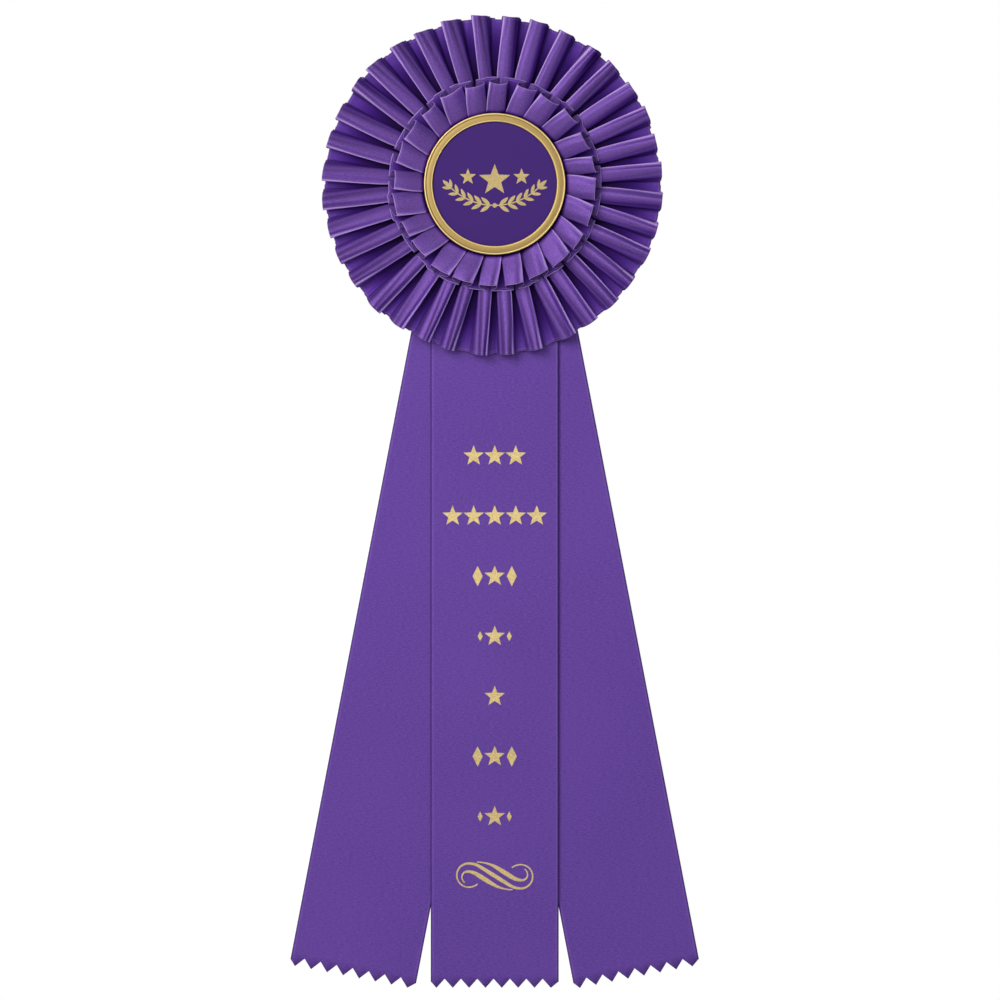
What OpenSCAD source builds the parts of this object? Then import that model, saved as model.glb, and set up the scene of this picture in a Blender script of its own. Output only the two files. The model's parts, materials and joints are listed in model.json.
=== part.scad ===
// Award rosette with three fanned satin streamers, a gold-rimmed centre button and a bar pin on its back.
// Units are millimetres. +Z is up and the front faces -Y. The origin is the middle of the pin's needle,
// where the cloth that the rosette is pinned to lies. Each "rear" below is the Y of a layer's back face,
// and a layer runs from there towards -Y.

/* [Outer ruffle] */
// Radius of the outer ruffle at its rim
outer_r = 67.5; // [65:0.5:70]
// Number of box pleats round the outer ruffle
outer_pleats = 36; // [32:1:38]
// Width of the ribbon that the outer ruffle is pleated from
outer_ribbon_w = 36.5; // [34:0.5:38]
// Width of each front panel of the outer pleats
outer_panel_w = 6.7; // [6:0.1:7]
// Front-to-back depth of the outer pleats at the rim
outer_depth = 4.5; // [3.5:0.1:5]

/* [Inner ruffle] */
// Radius of the inner ruffle at its rim
inner_r = 42; // [40:0.5:43]
// Number of box pleats round the inner ruffle
inner_pleats = 24; // [22:1:25]
// Width of the ribbon that the inner ruffle is pleated from
inner_ribbon_w = 22.2; // [21:0.1:23]
// Width of each front panel of the inner pleats
inner_panel_w = 9; // [8:0.1:9.5]
// Front-to-back depth of the inner pleats at the rim
inner_depth = 5.5; // [4.5:0.1:6.5]

/* [Button] */
// Radius of the gold rim
rim_r = 28; // [27:0.5:29]
// Radius of the printed disc that shows inside the rim
face_r = 24.6; // [23.5:0.1:25]
// Height of the rim from its back edge to its crest
rim_h = 2.5; // [2.2:0.1:3]

/* [Streamers] */
// Width of each streamer
streamer_w = 50.8; // [48:0.1:52]
// Length of the middle streamer below the staple, to its side corners
streamer_l = 295.8; // [280:0.1:310]
// How much longer the side streamers are cut than the middle one
side_extra = 1.2; // [0:0.1:4]
// Angle that each side streamer is fanned out from the middle one
fan = 10.9; // [6:0.1:11]
// Pitch of the pinked teeth along the cut end
tooth_pitch = 6.49; // [5:0.01:8]
// Depth of the pinked teeth
tooth_h = 3.6; // [2.5:0.1:4]
// Thickness of the satin
satin_t = 0.3; // [0.25:0.05:0.3]

/* [Cards] */
// Radius of the card that carries the outer ruffle
base_card_r = 42; // [40:0.5:44]
// Radius of the card that closes the back
back_card_r = 38; // [36:0.5:39]
// Height of the bar pin above the centre of the rosette
pin_up = 16; // [14:0.5:18]

/* [Bar pin] */
// Length of the bar
bar_l = 39; // [38.5:0.1:40]
// Width of the bar
bar_w = 5; // [4.5:0.1:5.5]
// Radius of the needle
needle_r = 0.45; // [0.4:0.05:0.5]
// Clear space between the needle and the bar, for the cloth
cloth_gap = 3.2; // [3:0.1:3.6]

/* [Hidden] */

$fn = 96;
small_fn = 48;
purple = [0.38, 0.27, 0.59];
deep_purple = [0.27, 0.16, 0.47];
gold = [0.73, 0.62, 0.36];
foil_gold = [0.85, 0.77, 0.53];
card_white = [0.93, 0.92, 0.88];
chipboard = [0.66, 0.6, 0.51];
steel = [0.72, 0.73, 0.75];

// Layers, from the bar at the back to the button at the front.
bar_t = 0.6;
pad_t = 0.8;
back_card_t = 0.5;
base_card_t = 1;
inner_card_t = 0.8;
glue_t = 0.3;
layer_gap = 0.3;
wire = 0.5;
crown_gap = 0.05;
bend_room = 0.2;
outer_heading_t = 2.6;
inner_heading_t = 3.6;
button_back_t = 0.5;
bar_rear = -(needle_r + cloth_gap);
pad_rear = bar_rear - bar_t;
back_card_rear = pad_rear - pad_t;
bay_rear = back_card_rear - back_card_t;
staple_rear = bay_rear - crown_gap;
right_rear = staple_rear - wire - bend_room;
left_rear = right_rear - satin_t - layer_gap;
centre_rear = left_rear - satin_t - layer_gap;
base_card_rear = centre_rear - satin_t - layer_gap;
base_front = base_card_rear - base_card_t;
outer_rear = base_front - glue_t;
inner_card_rear = outer_rear - outer_heading_t;
inner_front = inner_card_rear - inner_card_t;
inner_rear = inner_front - glue_t;
button_rear = inner_rear - inner_heading_t;
disc_rear = button_rear - button_back_t;
disc_t = 0.8;
foil_t = 0.08;

// Rosette
axis_z = -pin_up;
pitch_of = function(r, n) 2 * PI * r / n;
outer_rise = 3;
inner_rise = 1;
outer_in = outer_r - sqrt(outer_ribbon_w ^ 2 - outer_rise ^ 2);
inner_in = inner_r - sqrt(inner_ribbon_w ^ 2 - inner_rise ^ 2);
pressed = 0.86; // share of the pitch that each panel takes where the pleats are pressed flat
pressed_depth = 1.5;
crown = 0.35;
outer_back_extra = 0.8;
inner_back_extra = 0.4;
thread_gap = 0.35;
glue_margin = 1;
card_overlap = 3;

// Streamers
staple_down = 20.4;
staple_z = axis_z - staple_down;
head_up = 9;
leg_x = 6;
clinch_l = 4.5;
fold_below_rim = 5;
fold_z = axis_z - outer_r - fold_below_rim;
fold_gap = 0.25;
swing_in = fan;
swing_out = 8;
centre_swing = 10;
first_tooth = 2.26;
slot_gap = 0.3;

// Bar pin, along X
hinge_x = -17;
eye_r = 1.5;
eye_t = 1;
ear_gap = 0.1;
ear_t = 0.5;
rivet_r = 0.5;
needle_from = hinge_x + 1;
needle_to = 10.5;
needle_tip = 16.6;
roller_r = 1.65;
roller_from = 13.6;
roller_to = 17;
roller_bore = 0.8;
slot_w = 1.5;
flange_r = 2.1;
flange_t = 0.4;
cage_from = 14.1;
cage_to = 16.5;
cage_r = 2.4;
cage_bore = 1.75;

// A flat layer in the XZ plane: its back face is at y = rear and it is t thick towards the front.
module layer(rear, t) {
    translate([0, rear, 0]) rotate([90, 0, 0]) linear_extrude(t) children();
}

// A flat layer drawn about the rosette's own axis.
module round_layer(rear, t) {
    layer(rear, t) translate([0, axis_z]) children();
}

module ring(r_out, r_in) {
    difference() {
        circle(r_out);
        circle(r_in);
    }
}

// ---- Ruffles ----

// One box pleat's section: [distance along the pitch, height above the back panels].
function pleat(pitch, front_w, back_w, depth, bulge) = [
    [-front_w / 2, depth],
    [0, depth + bulge],
    [front_w / 2, depth],
    [pitch / 2 - back_w / 2, 0],
    [pitch / 2 + back_w / 2, 0]
];

// The section repeated round the ruffle, as [angle in degrees, height].
function pleat_ring(r, n, front_w, back_w, depth, bulge) = [
    for (k = [0:n - 1], q = pleat(pitch_of(r, n), front_w, back_w, depth, bulge))
        [(k * pitch_of(r, n) + q[0]) / r * 180 / PI, q[1]]
];

function unit(v) = v / norm(v);

// Each point of a ring section moved sideways by d, as a mitre with its length kept short.
function offset_ring(section, r, d) = let (n = len(section), mm = PI * r / 180)
    [for (i = [0:n - 1])
        let (
            a = section[(i + n - 1) % n],
            b = section[i],
            c = section[(i + 1) % n],
            before = (i == 0) ? a[0] - 360 : a[0],
            after = (i == n - 1) ? c[0] + 360 : c[0],
            u = unit([(b[0] - before) * mm, b[1] - a[1]]),
            v = unit([(after - b[0]) * mm, c[1] - b[1]]),
            n_u = [-u[1], u[0]],
            n_v = [-v[1], v[0]],
            mid = unit(n_u + n_v),
            reach = d / max(0.7, mid * n_u)
        )
        [b[0] + mid[0] * reach / mm, b[1] + mid[1] * reach]
    ];

function on_ring(r, rear, q) = [r * sin(q[0]), rear - q[1], axis_z + r * cos(q[0])];

// A pleated ribbon: straight lines of the ribbon's width run from the pressed edge to the open rim.
module ruffle(r_in, ribbon_w, r_rim, n, front_w, back_w, depth, rear) {
    pitch_in = pitch_of(r_in, n);
    inside = pleat_ring(r_in, n, pressed * pitch_in, pressed * pitch_in, pressed_depth, 0);
    rim = pleat_ring(r_rim, n, front_w, back_w, depth, crown);
    count = len(rim);
    half = satin_t / 2;
    reach = [for (i = [0:count - 1]) r_in + sqrt(ribbon_w ^ 2 - (rim[i][1] - inside[i][1]) ^ 2)];
    rows = [for (side = [half, -half]) let (
            near = offset_ring(inside, r_in, side),
            far = offset_ring(rim, r_rim, side)
        )
        each [
            [for (q = near) on_ring(r_in, rear - half, q)],
            [for (i = [0:count - 1]) on_ring(reach[i], rear - half, far[i])]
        ]
    ];
    // Each band of faces, as the two rows it joins and which of its diagonals is used. Both sides of the
    // satin are split along the same diagonal, so that a twisted panel keeps its thickness.
    bands = [[0, 1, true], [1, 3, true], [3, 2, false], [2, 0, true]];
    polyhedron(
        points = [for (row = rows) each row],
        faces = [
            for (band = bands, i = [0:count - 1]) let (
                j = (i + 1) % count,
                a = band[0] * count + i,
                b = band[0] * count + j,
                c = band[1] * count + j,
                d = band[1] * count + i
            )
            each (band[2] ? [[a, b, c], [a, c, d]] : [[a, b, d], [b, c, d]])
        ]
    );
}

module outer_ruffle() {
    color(purple)
        ruffle(outer_in, outer_ribbon_w, outer_r, outer_pleats, outer_panel_w,
               outer_panel_w + outer_back_extra, outer_depth, outer_rear);
}

module inner_ruffle() {
    color(purple)
        ruffle(inner_in, inner_ribbon_w, inner_r, inner_pleats, inner_panel_w,
               inner_panel_w + inner_back_extra, inner_depth, inner_rear);
}

// The stitched thread that holds a ruffle's pleats, lying on its pressed edge.
module heading_thread(r_in, rear) {
    thread_r = 0.2;
    in_from_edge = 1.5;
    translate([0, rear - pressed_depth - satin_t - thread_r - thread_gap, axis_z])
        rotate([90, 0, 0])
            rotate_extrude() translate([r_in + in_from_edge, 0]) circle(thread_r, $fn = 16);
}

module outer_thread() {
    color(deep_purple) heading_thread(outer_in, outer_rear);
}

module inner_thread() {
    color(deep_purple) heading_thread(inner_in, inner_rear);
}

// ---- Cards and glue ----

module prong_slots() {
    for (side = [-1, 1])
        translate([side * prong_x - prong_t / 2, -prong_w / 2]) square([prong_t, prong_w]);
}

module base_card() {
    color(chipboard)
        difference() {
            round_layer(base_card_rear, base_card_t) difference() {
                circle(base_card_r);
                prong_slots();
            }
            streamer_staple();
        }
}

module outer_glue() {
    color(card_white) round_layer(base_front, glue_t) ring(base_card_r - glue_margin, outer_in);
}

module inner_card() {
    color(chipboard) round_layer(inner_card_rear, inner_card_t) difference() {
        circle(outer_in + card_overlap);
        prong_slots();
    }
}

module inner_glue() {
    color(card_white) round_layer(inner_front, glue_t) ring(outer_in, inner_in);
}

module back_card() {
    color(card_white) round_layer(back_card_rear, back_card_t) circle(back_card_r);
}

// Foam tape that holds the back card off the base card, clear of the streamers.
module tape_pads() {
    pad = [14, 9];
    places = [[0, 27], [-22, 15], [22, 15]];
    color(card_white) round_layer(bay_rear, bay_rear - base_card_rear)
        for (p = places) translate(p) square(pad, center = true);
}

// ---- Button ----

prong_x = 4;
prong_t = 0.4;
prong_w = 3;
prong_fold = 9;
rim_foot_w = 1.6;
disc_tuck = 1;
lip_gap = 0.05;

module button_back() {
    color(steel) {
        round_layer(button_rear, button_back_t) circle(rim_r - rim_foot_w);
        for (side = [0, 180]) translate([0, 0, axis_z]) rotate([0, side, 0]) {
            translate([prong_x - prong_t / 2, button_rear, -prong_w / 2])
                cube([prong_t, base_card_rear - button_rear + prong_t, prong_w]);
            translate([prong_x - prong_t / 2, base_card_rear, -prong_w / 2])
                cube([prong_fold, prong_t, prong_w]);
        }
    }
}

module button_disc() {
    color(deep_purple) round_layer(disc_rear, disc_t) circle(face_r + disc_tuck);
}

// The pressed rim: a rounded outer bead, a shallow groove, a sloping band and a lip over the disc.
module button_rim() {
    lip_h = disc_rear - disc_t - lip_gap;
    base = button_rear;
    bead_r = 0.5;
    band_r = 0.6;
    band_in = 1.8;
    band_drop = 0.2;
    lip_w = 0.35;
    lip_rise = 0.4;
    lip_edge = 0.12;
    wall = 0.3;
    crest = rim_h - bead_r;
    face_h = base - lip_h;
    profile = [
        [rim_r - rim_foot_w, 0],
        [rim_r, 0],
        for (a = [0:15:150]) [rim_r - bead_r + bead_r * cos(a), crest + bead_r * sin(a)],
        for (a = [45:15:120]) [rim_r - band_in + band_r * cos(a), crest - band_drop + band_r * sin(a)],
        [face_r + lip_w, face_h + lip_rise],
        [face_r, face_h + lip_edge],
        [face_r, face_h],
        [face_r + disc_tuck, face_h],
        [rim_r - rim_foot_w, face_h - wall]
    ];
    color(gold) translate([0, base, axis_z]) rotate([90, 0, 0]) rotate_extrude() polygon(profile);
}

// ---- Foil ----

// A star's inner radius as a share of its outer one
star_waist = 0.42;

function star_points(r) = [
    for (k = [0:9]) let (a = 90 + 36 * k, q = (k % 2 == 0) ? r : r * star_waist)
        [q * cos(a), q * sin(a)]
];

// A laurel leaf of length l that starts at the origin and points along +X.
module leaf(l, w) {
    bend = (l * l / 4 + w * w / 4) / w;
    translate([l / 2, 0]) intersection_for(side = [-1, 1])
        translate([0, side * (bend - w / 2)]) circle(bend);
}

// Each branch of the laurel runs round the emblem's arc from a berry at its lowest point.
laurel_r = 25;
laurel_up = 16.5;
laurel_from = 4;
laurel_to = 43;
laurel_pairs = 6;
leaf_l = 4.8;
leaf_w = 1.5;
leaf_lean = 37;
leaf_taper = 0.04;
stem_w = 0.5;
stem_steps = 12;
berry_r = 0.9;
big_star_r = 6.4;
big_star_up = 1.5;
small_star_r = 3.4;
small_star_at = [10.6, 2.8];

// Three stars over a laurel: each branch is a thin stem with leaf pairs along it and a leaf at its tip.
module button_emblem() {
    step = (laurel_to - laurel_from) / (laurel_pairs - 1);
    stem = [for (i = [0:stem_steps]) laurel_to * i / stem_steps];
    on_arc = function(r, a) r * [sin(a), -cos(a)];
    color(foil_gold) round_layer(disc_rear - disc_t, foil_t) {
        translate([0, big_star_up]) polygon(star_points(big_star_r));
        for (side = [0, 1]) mirror([side, 0]) translate(small_star_at) polygon(star_points(small_star_r));
        translate([0, laurel_up]) {
            translate(on_arc(laurel_r, 0)) circle(berry_r, $fn = small_fn);
            for (side = [0, 1]) mirror([side, 0]) {
                polygon(concat(
                    [for (a = stem) on_arc(laurel_r + stem_w / 2, a)],
                    [for (i = [stem_steps:-1:0]) on_arc(laurel_r - stem_w / 2, stem[i])]
                ));
                translate(on_arc(laurel_r, laurel_to)) rotate(laurel_to) leaf(leaf_l, leaf_w);
                for (k = [0:laurel_pairs - 1], lean = [-leaf_lean, leaf_lean])
                    let (a = laurel_from + k * step, taper = 1 - leaf_taper * k)
                        translate(on_arc(laurel_r, a))
                            rotate(a + lean) leaf(leaf_l * taper, leaf_w * taper);
            }
        }
    }
}

// Each row down the middle streamer: its number of stars, and the size of the lozenge at each end of it.
ornament_rows = [[3, 0], [5, 0], [1, 1], [1, 0.5], [1, 0], [1, 1], [1, 0.5]];
star_r = 4.25;
star_pitch = 8.35;
lozenge_w = 4;
lozenge_h = 8;
lozenge_gap = 0.6;
first_row_down = 107.5;
row_pitch = 23.85;

module lozenge(size) {
    polygon(size / 2 * [[lozenge_w, 0], [0, lozenge_h], [-lozenge_w, 0], [0, -lozenge_h]]);
}

module star_foil() {
    color(foil_gold) round_layer(centre_rear - satin_t, foil_t)
        for (k = [0:len(ornament_rows) - 1]) translate([0, -first_row_down - k * row_pitch]) {
            stars = ornament_rows[k][0];
            size = ornament_rows[k][1];
            for (j = [0:stars - 1]) translate([(j - (stars - 1) / 2) * star_pitch, 0])
                polygon(star_points(star_r));
            if (size > 0) for (side = [-1, 1])
                translate([side * (stars * star_pitch / 2 + lozenge_gap + size * lozenge_w / 2), 0])
                    lozenge(size);
        }
}

// A line made of arcs, each given as [length, degrees that it turns to the left].
function arc_line(from, heading, arcs, k = 0) = (k == len(arcs)) ? [from] : let (
        steps = max(4, ceil(arcs[k][0] / scroll_step)),
        arc = [
            for (
                i = 0, p = from;
                i <= steps;
                a = heading + arcs[k][1] * (i + 0.5) / steps,
                p = p + arcs[k][0] / steps * [cos(a), sin(a)],
                i = i + 1
            ) p
        ]
    )
    concat(
        [for (i = [0:steps - 1]) arc[i]],
        arc_line(arc[steps], heading + arcs[k][1], arcs, k + 1)
    );

// A brush stroke along a line: fine at both ends and broad in the middle. The brush is its fine width,
// its broad width and its swell, which keeps the broad part shorter when it is higher.
function stroke(line, brush) = let (
        n = len(line) - 1,
        fine = brush[0],
        broad = brush[1],
        swell = brush[2],
        side = [for (i = [0:n]) let (
                d = unit(line[min(n, i + 1)] - line[max(0, i - 1)]),
                w = fine + (broad - fine) * pow(max(0, sin(180 * i / n)), swell)
            ) w / 2 * [-d[1], d[0]]]
    )
    concat(
        [for (i = [0:n]) line[i] + side[i]],
        [for (i = [n:-1:0]) line[i] - side[i]]
    );

scroll_down = 274.2;
scroll_step = 0.6;
scroll_slope = -32;
// From the scroll's middle: the slope, the turn to level, the wide loop and its hooked end
half_s_arcs = [[7, 0], [4.65, -scroll_slope], [14.85, 180], [3.8, 38]];
// From the fine end of the stroke beside it: a slow rise, the slope, the turn to level and a small curl
beside_from = [7.1, -5.5];
beside_arcs = [[8.5, scroll_slope], [7.2, 0], [4, -scroll_slope], [3.6, 95], [2.4, 48]];
// Each stroke's fine width, its broad width, and its swell
s_brush = [0.55, 1.55, 6];
beside_brush = [0.45, 1.8, 2.5];

// A long S with a wide loop at each end, and on each side of it a stroke with one small curl.
module scroll_foil() {
    half_s = arc_line([0, 0], scroll_slope, half_s_arcs);
    s_line = concat([for (i = [len(half_s) - 1:-1:1]) -half_s[i]], half_s);
    beside = arc_line(beside_from, 180, beside_arcs);
    color(foil_gold) round_layer(centre_rear - satin_t, foil_t) translate([0, -scroll_down]) {
        polygon(stroke(s_line, s_brush));
        for (half = [0, 180]) rotate(half) polygon(stroke(beside, beside_brush));
    }
}

// ---- Streamers ----

// A streamer hanging straight down from the staple at the origin, with its end cut by pinking shears.
module streamer_shape(top, bottom) {
    teeth = floor((streamer_w - first_tooth) / tooth_pitch);
    level = tooth_h * 0.3;
    tips = [
        for (k = [0:teeth]) each [
            [-streamer_w / 2 + first_tooth + k * tooth_pitch, bottom - tooth_h + level],
            if (k < teeth) [-streamer_w / 2 + first_tooth + (k + 0.5) * tooth_pitch, bottom + level]
        ]
    ];
    polygon(concat(
        [[-streamer_w / 2, top], [-streamer_w / 2, bottom]],
        tips,
        [[streamer_w / 2, bottom], [streamer_w / 2, top]]
    ));
}

// The slots that let a streamer turn about the staple's middle past both of its legs.
module leg_slots(turn_from, turn_to) {
    r_mid = leg_x;
    half = wire / 2 + slot_gap;
    margin = 7;
    steps = 6;
    for (leg = [0, 180]) {
        a0 = leg - turn_to - margin;
        a1 = leg - turn_from + margin;
        arc = [for (i = [0:steps]) a0 + (a1 - a0) * i / steps];
        polygon(concat(
            [for (a = arc) (r_mid + half) * [cos(a), sin(a)]],
            [for (i = [steps:-1:0]) (r_mid - half) * [cos(arc[i]), sin(arc[i])]]
        ));
    }
}

module side_streamer(side, rear) {
    layer(rear, satin_t) translate([0, staple_z]) difference() {
        rotate(side * fan) streamer_shape(head_up, -streamer_l - side_extra);
        leg_slots(side > 0 ? -swing_in : -swing_out, side > 0 ? swing_out : swing_in);
    }
}

module left_streamer() {
    color(purple) side_streamer(-1, left_rear);
}

module right_streamer() {
    color(purple) side_streamer(1, right_rear);
}

module centre_streamer_head() {
    color(purple) layer(centre_rear, satin_t) difference() {
        translate([-streamer_w / 2, fold_z + fold_gap])
            square([streamer_w, staple_z + head_up - fold_z - fold_gap]);
        translate([0, staple_z]) leg_slots(-centre_swing, centre_swing);
    }
}

module centre_streamer() {
    color(purple) layer(centre_rear, satin_t) translate([0, staple_z])
        streamer_shape(fold_z - fold_gap - staple_z, -streamer_l);
}

// The staple that holds all three streamers to the base card: crown, two legs and their clinched ends.
module streamer_staple() {
    front = base_front - wire;
    color(steel) translate([0, 0, staple_z - wire / 2]) {
        translate([-leg_x - wire / 2, staple_rear - wire, 0]) cube([2 * leg_x + wire, wire, wire]);
        for (side = [-1, 1]) {
            translate([side * leg_x - wire / 2, front, 0]) cube([wire, staple_rear - front, wire]);
            translate([side * (leg_x + wire / 2 - clinch_l / 2) - clinch_l / 2, front, 0])
                cube([clinch_l, wire, wire]);
        }
    }
}

// ---- Bar pin ----

module bar_outline(l, w) {
    hull() for (side = [-1, 1]) translate([side * (l - w) / 2, 0]) circle(w / 2, $fn = 32);
}

module pin_pad() {
    color(card_white) layer(pad_rear, pad_t) square([bar_l - 6, bar_w - 0.6], center = true);
}

// The stamped bar: two ears for the needle's rivet at one end, and the cage of the catch at the other.
module pin_bar() {
    neck_w = 2.2;
    mouth_w = slot_w + 0.2;
    color(steel) {
        layer(bar_rear, bar_t) {
            square([bar_l - bar_w, bar_w], center = true);
            for (side = [-1, 1]) translate([side * (bar_l - bar_w) / 2, 0]) circle(bar_w / 2);
        }
        for (side = [-1, 1])
            translate([hinge_x, 0, side * (eye_t / 2 + ear_gap + ear_t / 2) - ear_t / 2])
                difference() {
                    union() {
                        cylinder(r = eye_r, h = ear_t, $fn = small_fn);
                        translate([-eye_r, bar_rear, 0]) cube([2 * eye_r, -bar_rear, ear_t]);
                    }
                    translate([0, 0, -1]) cylinder(r = rivet_r, h = ear_t + 2, $fn = small_fn);
                }
        translate([cage_from, 0, 0]) rotate([0, 90, 0]) difference() {
            union() {
                cylinder(r = cage_r, h = cage_to - cage_from, $fn = small_fn);
                translate([-neck_w / 2, bar_rear, 0]) cube([neck_w, -bar_rear, cage_to - cage_from]);
            }
            translate([0, 0, -1]) cylinder(r = cage_bore, h = cage_to - cage_from + 2, $fn = small_fn);
            translate([-mouth_w / 2, 0, -1]) cube([mouth_w, cage_r + 1, cage_to - cage_from + 2]);
        }
    }
}

module hinge_rivet() {
    outside = eye_t / 2 + ear_gap + ear_t;
    head_r = 0.9;
    head_t = 0.35;
    color(steel) translate([hinge_x, 0, 0]) {
        cylinder(r = rivet_r, h = 2 * outside, center = true, $fn = small_fn);
        for (side = [-1, 1]) translate([0, 0, side * (outside + head_t / 2)])
            cylinder(r = head_r, h = head_t, center = true, $fn = small_fn);
    }
}

// The needle: a flat eye on the rivet, the straight wire and a ground point.
module pin_needle() {
    eye_bore = rivet_r + 0.05;
    color(steel) difference() {
        union() {
            translate([hinge_x, 0, 0]) cylinder(r = eye_r, h = eye_t, center = true, $fn = small_fn);
            translate([needle_from, 0, 0]) rotate([0, 90, 0])
                cylinder(r = needle_r, h = needle_to - needle_from, $fn = small_fn);
            translate([needle_to, 0, 0]) rotate([0, 90, 0])
                cylinder(r1 = needle_r, r2 = 0.05, h = needle_tip - needle_to, $fn = small_fn);
        }
        translate([hinge_x, 0, 0])
            cylinder(r = eye_bore, h = eye_t + 2, center = true, $fn = small_fn);
    }
}

// The slotted roller that turns in the cage and shuts the needle in, with its thumb tab.
module safety_catch() {
    tab_w = 1.4;
    tab_reach = 3.6;
    long = roller_to - roller_from;
    color(steel) translate([roller_from, 0, 0]) difference() {
        union() {
            rotate([0, 90, 0]) cylinder(r = roller_r, h = long, $fn = small_fn);
            for (x = [0, long - flange_t]) translate([x, 0, 0]) rotate([0, 90, 0])
                cylinder(r = flange_r, h = flange_t, $fn = small_fn);
            translate([long - flange_t, -tab_w / 2, -tab_reach])
                cube([flange_t, tab_w, tab_reach]);
        }
        translate([-1, 0, 0]) rotate([0, 90, 0])
            cylinder(r = roller_bore, h = long + 2, $fn = small_fn);
        translate([-1, 0, -slot_w / 2]) cube([long + 2, flange_r + 1, slot_w]);
    }
}

outer_ruffle();
outer_thread();
outer_glue();
base_card();
inner_ruffle();
inner_thread();
inner_glue();
inner_card();
button_back();
button_disc();
button_rim();
button_emblem();
centre_streamer_head();
centre_streamer();
star_foil();
scroll_foil();
left_streamer();
right_streamer();
streamer_staple();
tape_pads();
back_card();
pin_pad();
pin_bar();
hinge_rivet();
pin_needle();
safety_catch();
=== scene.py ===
"""The award ribbon's looks: pleated satin, pinked streamers, gold button and foil, card and bar pin."""

import json
import math
import random

import bpy
from mathutils import Matrix, Vector, noise

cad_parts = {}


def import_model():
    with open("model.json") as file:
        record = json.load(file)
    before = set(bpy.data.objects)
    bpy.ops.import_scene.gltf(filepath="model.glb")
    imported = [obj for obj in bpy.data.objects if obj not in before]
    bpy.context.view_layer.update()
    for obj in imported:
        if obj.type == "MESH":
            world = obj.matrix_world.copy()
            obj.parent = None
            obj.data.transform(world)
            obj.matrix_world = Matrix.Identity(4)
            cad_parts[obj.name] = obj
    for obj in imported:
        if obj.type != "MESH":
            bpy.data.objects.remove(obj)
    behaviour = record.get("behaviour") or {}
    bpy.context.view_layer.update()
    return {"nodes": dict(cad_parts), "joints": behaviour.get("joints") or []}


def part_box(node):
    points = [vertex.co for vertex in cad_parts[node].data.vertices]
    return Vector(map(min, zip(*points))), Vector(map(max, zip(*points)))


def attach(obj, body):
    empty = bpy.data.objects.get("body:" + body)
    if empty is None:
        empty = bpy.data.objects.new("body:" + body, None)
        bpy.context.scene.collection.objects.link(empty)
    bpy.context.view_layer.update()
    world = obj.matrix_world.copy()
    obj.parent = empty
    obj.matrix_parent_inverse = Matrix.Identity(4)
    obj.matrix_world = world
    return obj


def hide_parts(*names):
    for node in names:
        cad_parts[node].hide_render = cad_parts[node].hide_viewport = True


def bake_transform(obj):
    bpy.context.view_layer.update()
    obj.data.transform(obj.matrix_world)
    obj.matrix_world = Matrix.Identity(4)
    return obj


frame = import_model()

MM = 0.001
NODES = frame["nodes"]
JOINTS = {joint["name"]: joint for joint in frame["joints"]}


# ---- Places taken from the frame ----

OUTER_LOW, OUTER_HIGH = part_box("outer_ruffle")
INNER_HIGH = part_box("inner_ruffle")[1]
RIM_LOW, RIM_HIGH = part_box("button_rim")
AXIS = Vector((0, 0, (OUTER_LOW.z + OUTER_HIGH.z) / 2))
STAPLE_Z = JOINTS["left_streamer_swing"]["pos_m"][2]
FAN = math.radians(-JOINTS["left_streamer_swing"]["range_deg"][0])
BUTTON_R = (RIM_HIGH.x - RIM_LOW.x) / 2
BUTTON_RIM_W = 3.4 * MM
FACE_R = BUTTON_R - BUTTON_RIM_W
STREAMER_LOW, STREAMER_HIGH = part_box("centre_streamer")
STREAMER_W = STREAMER_HIGH.x - STREAMER_LOW.x
HEAD_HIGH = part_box("centre_streamer_head")[1]


# ---- Materials ----


def srgb(r, g, b):
    """A colour given as it shows on a screen, from 0 to 255, in the linear values that shaders take."""
    def linear(c):
        c = c / 255
        return c / 12.92 if c <= 0.04045 else ((c + 0.055) / 1.055) ** 2.4

    return (linear(r), linear(g), linear(b), 1.0)


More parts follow.
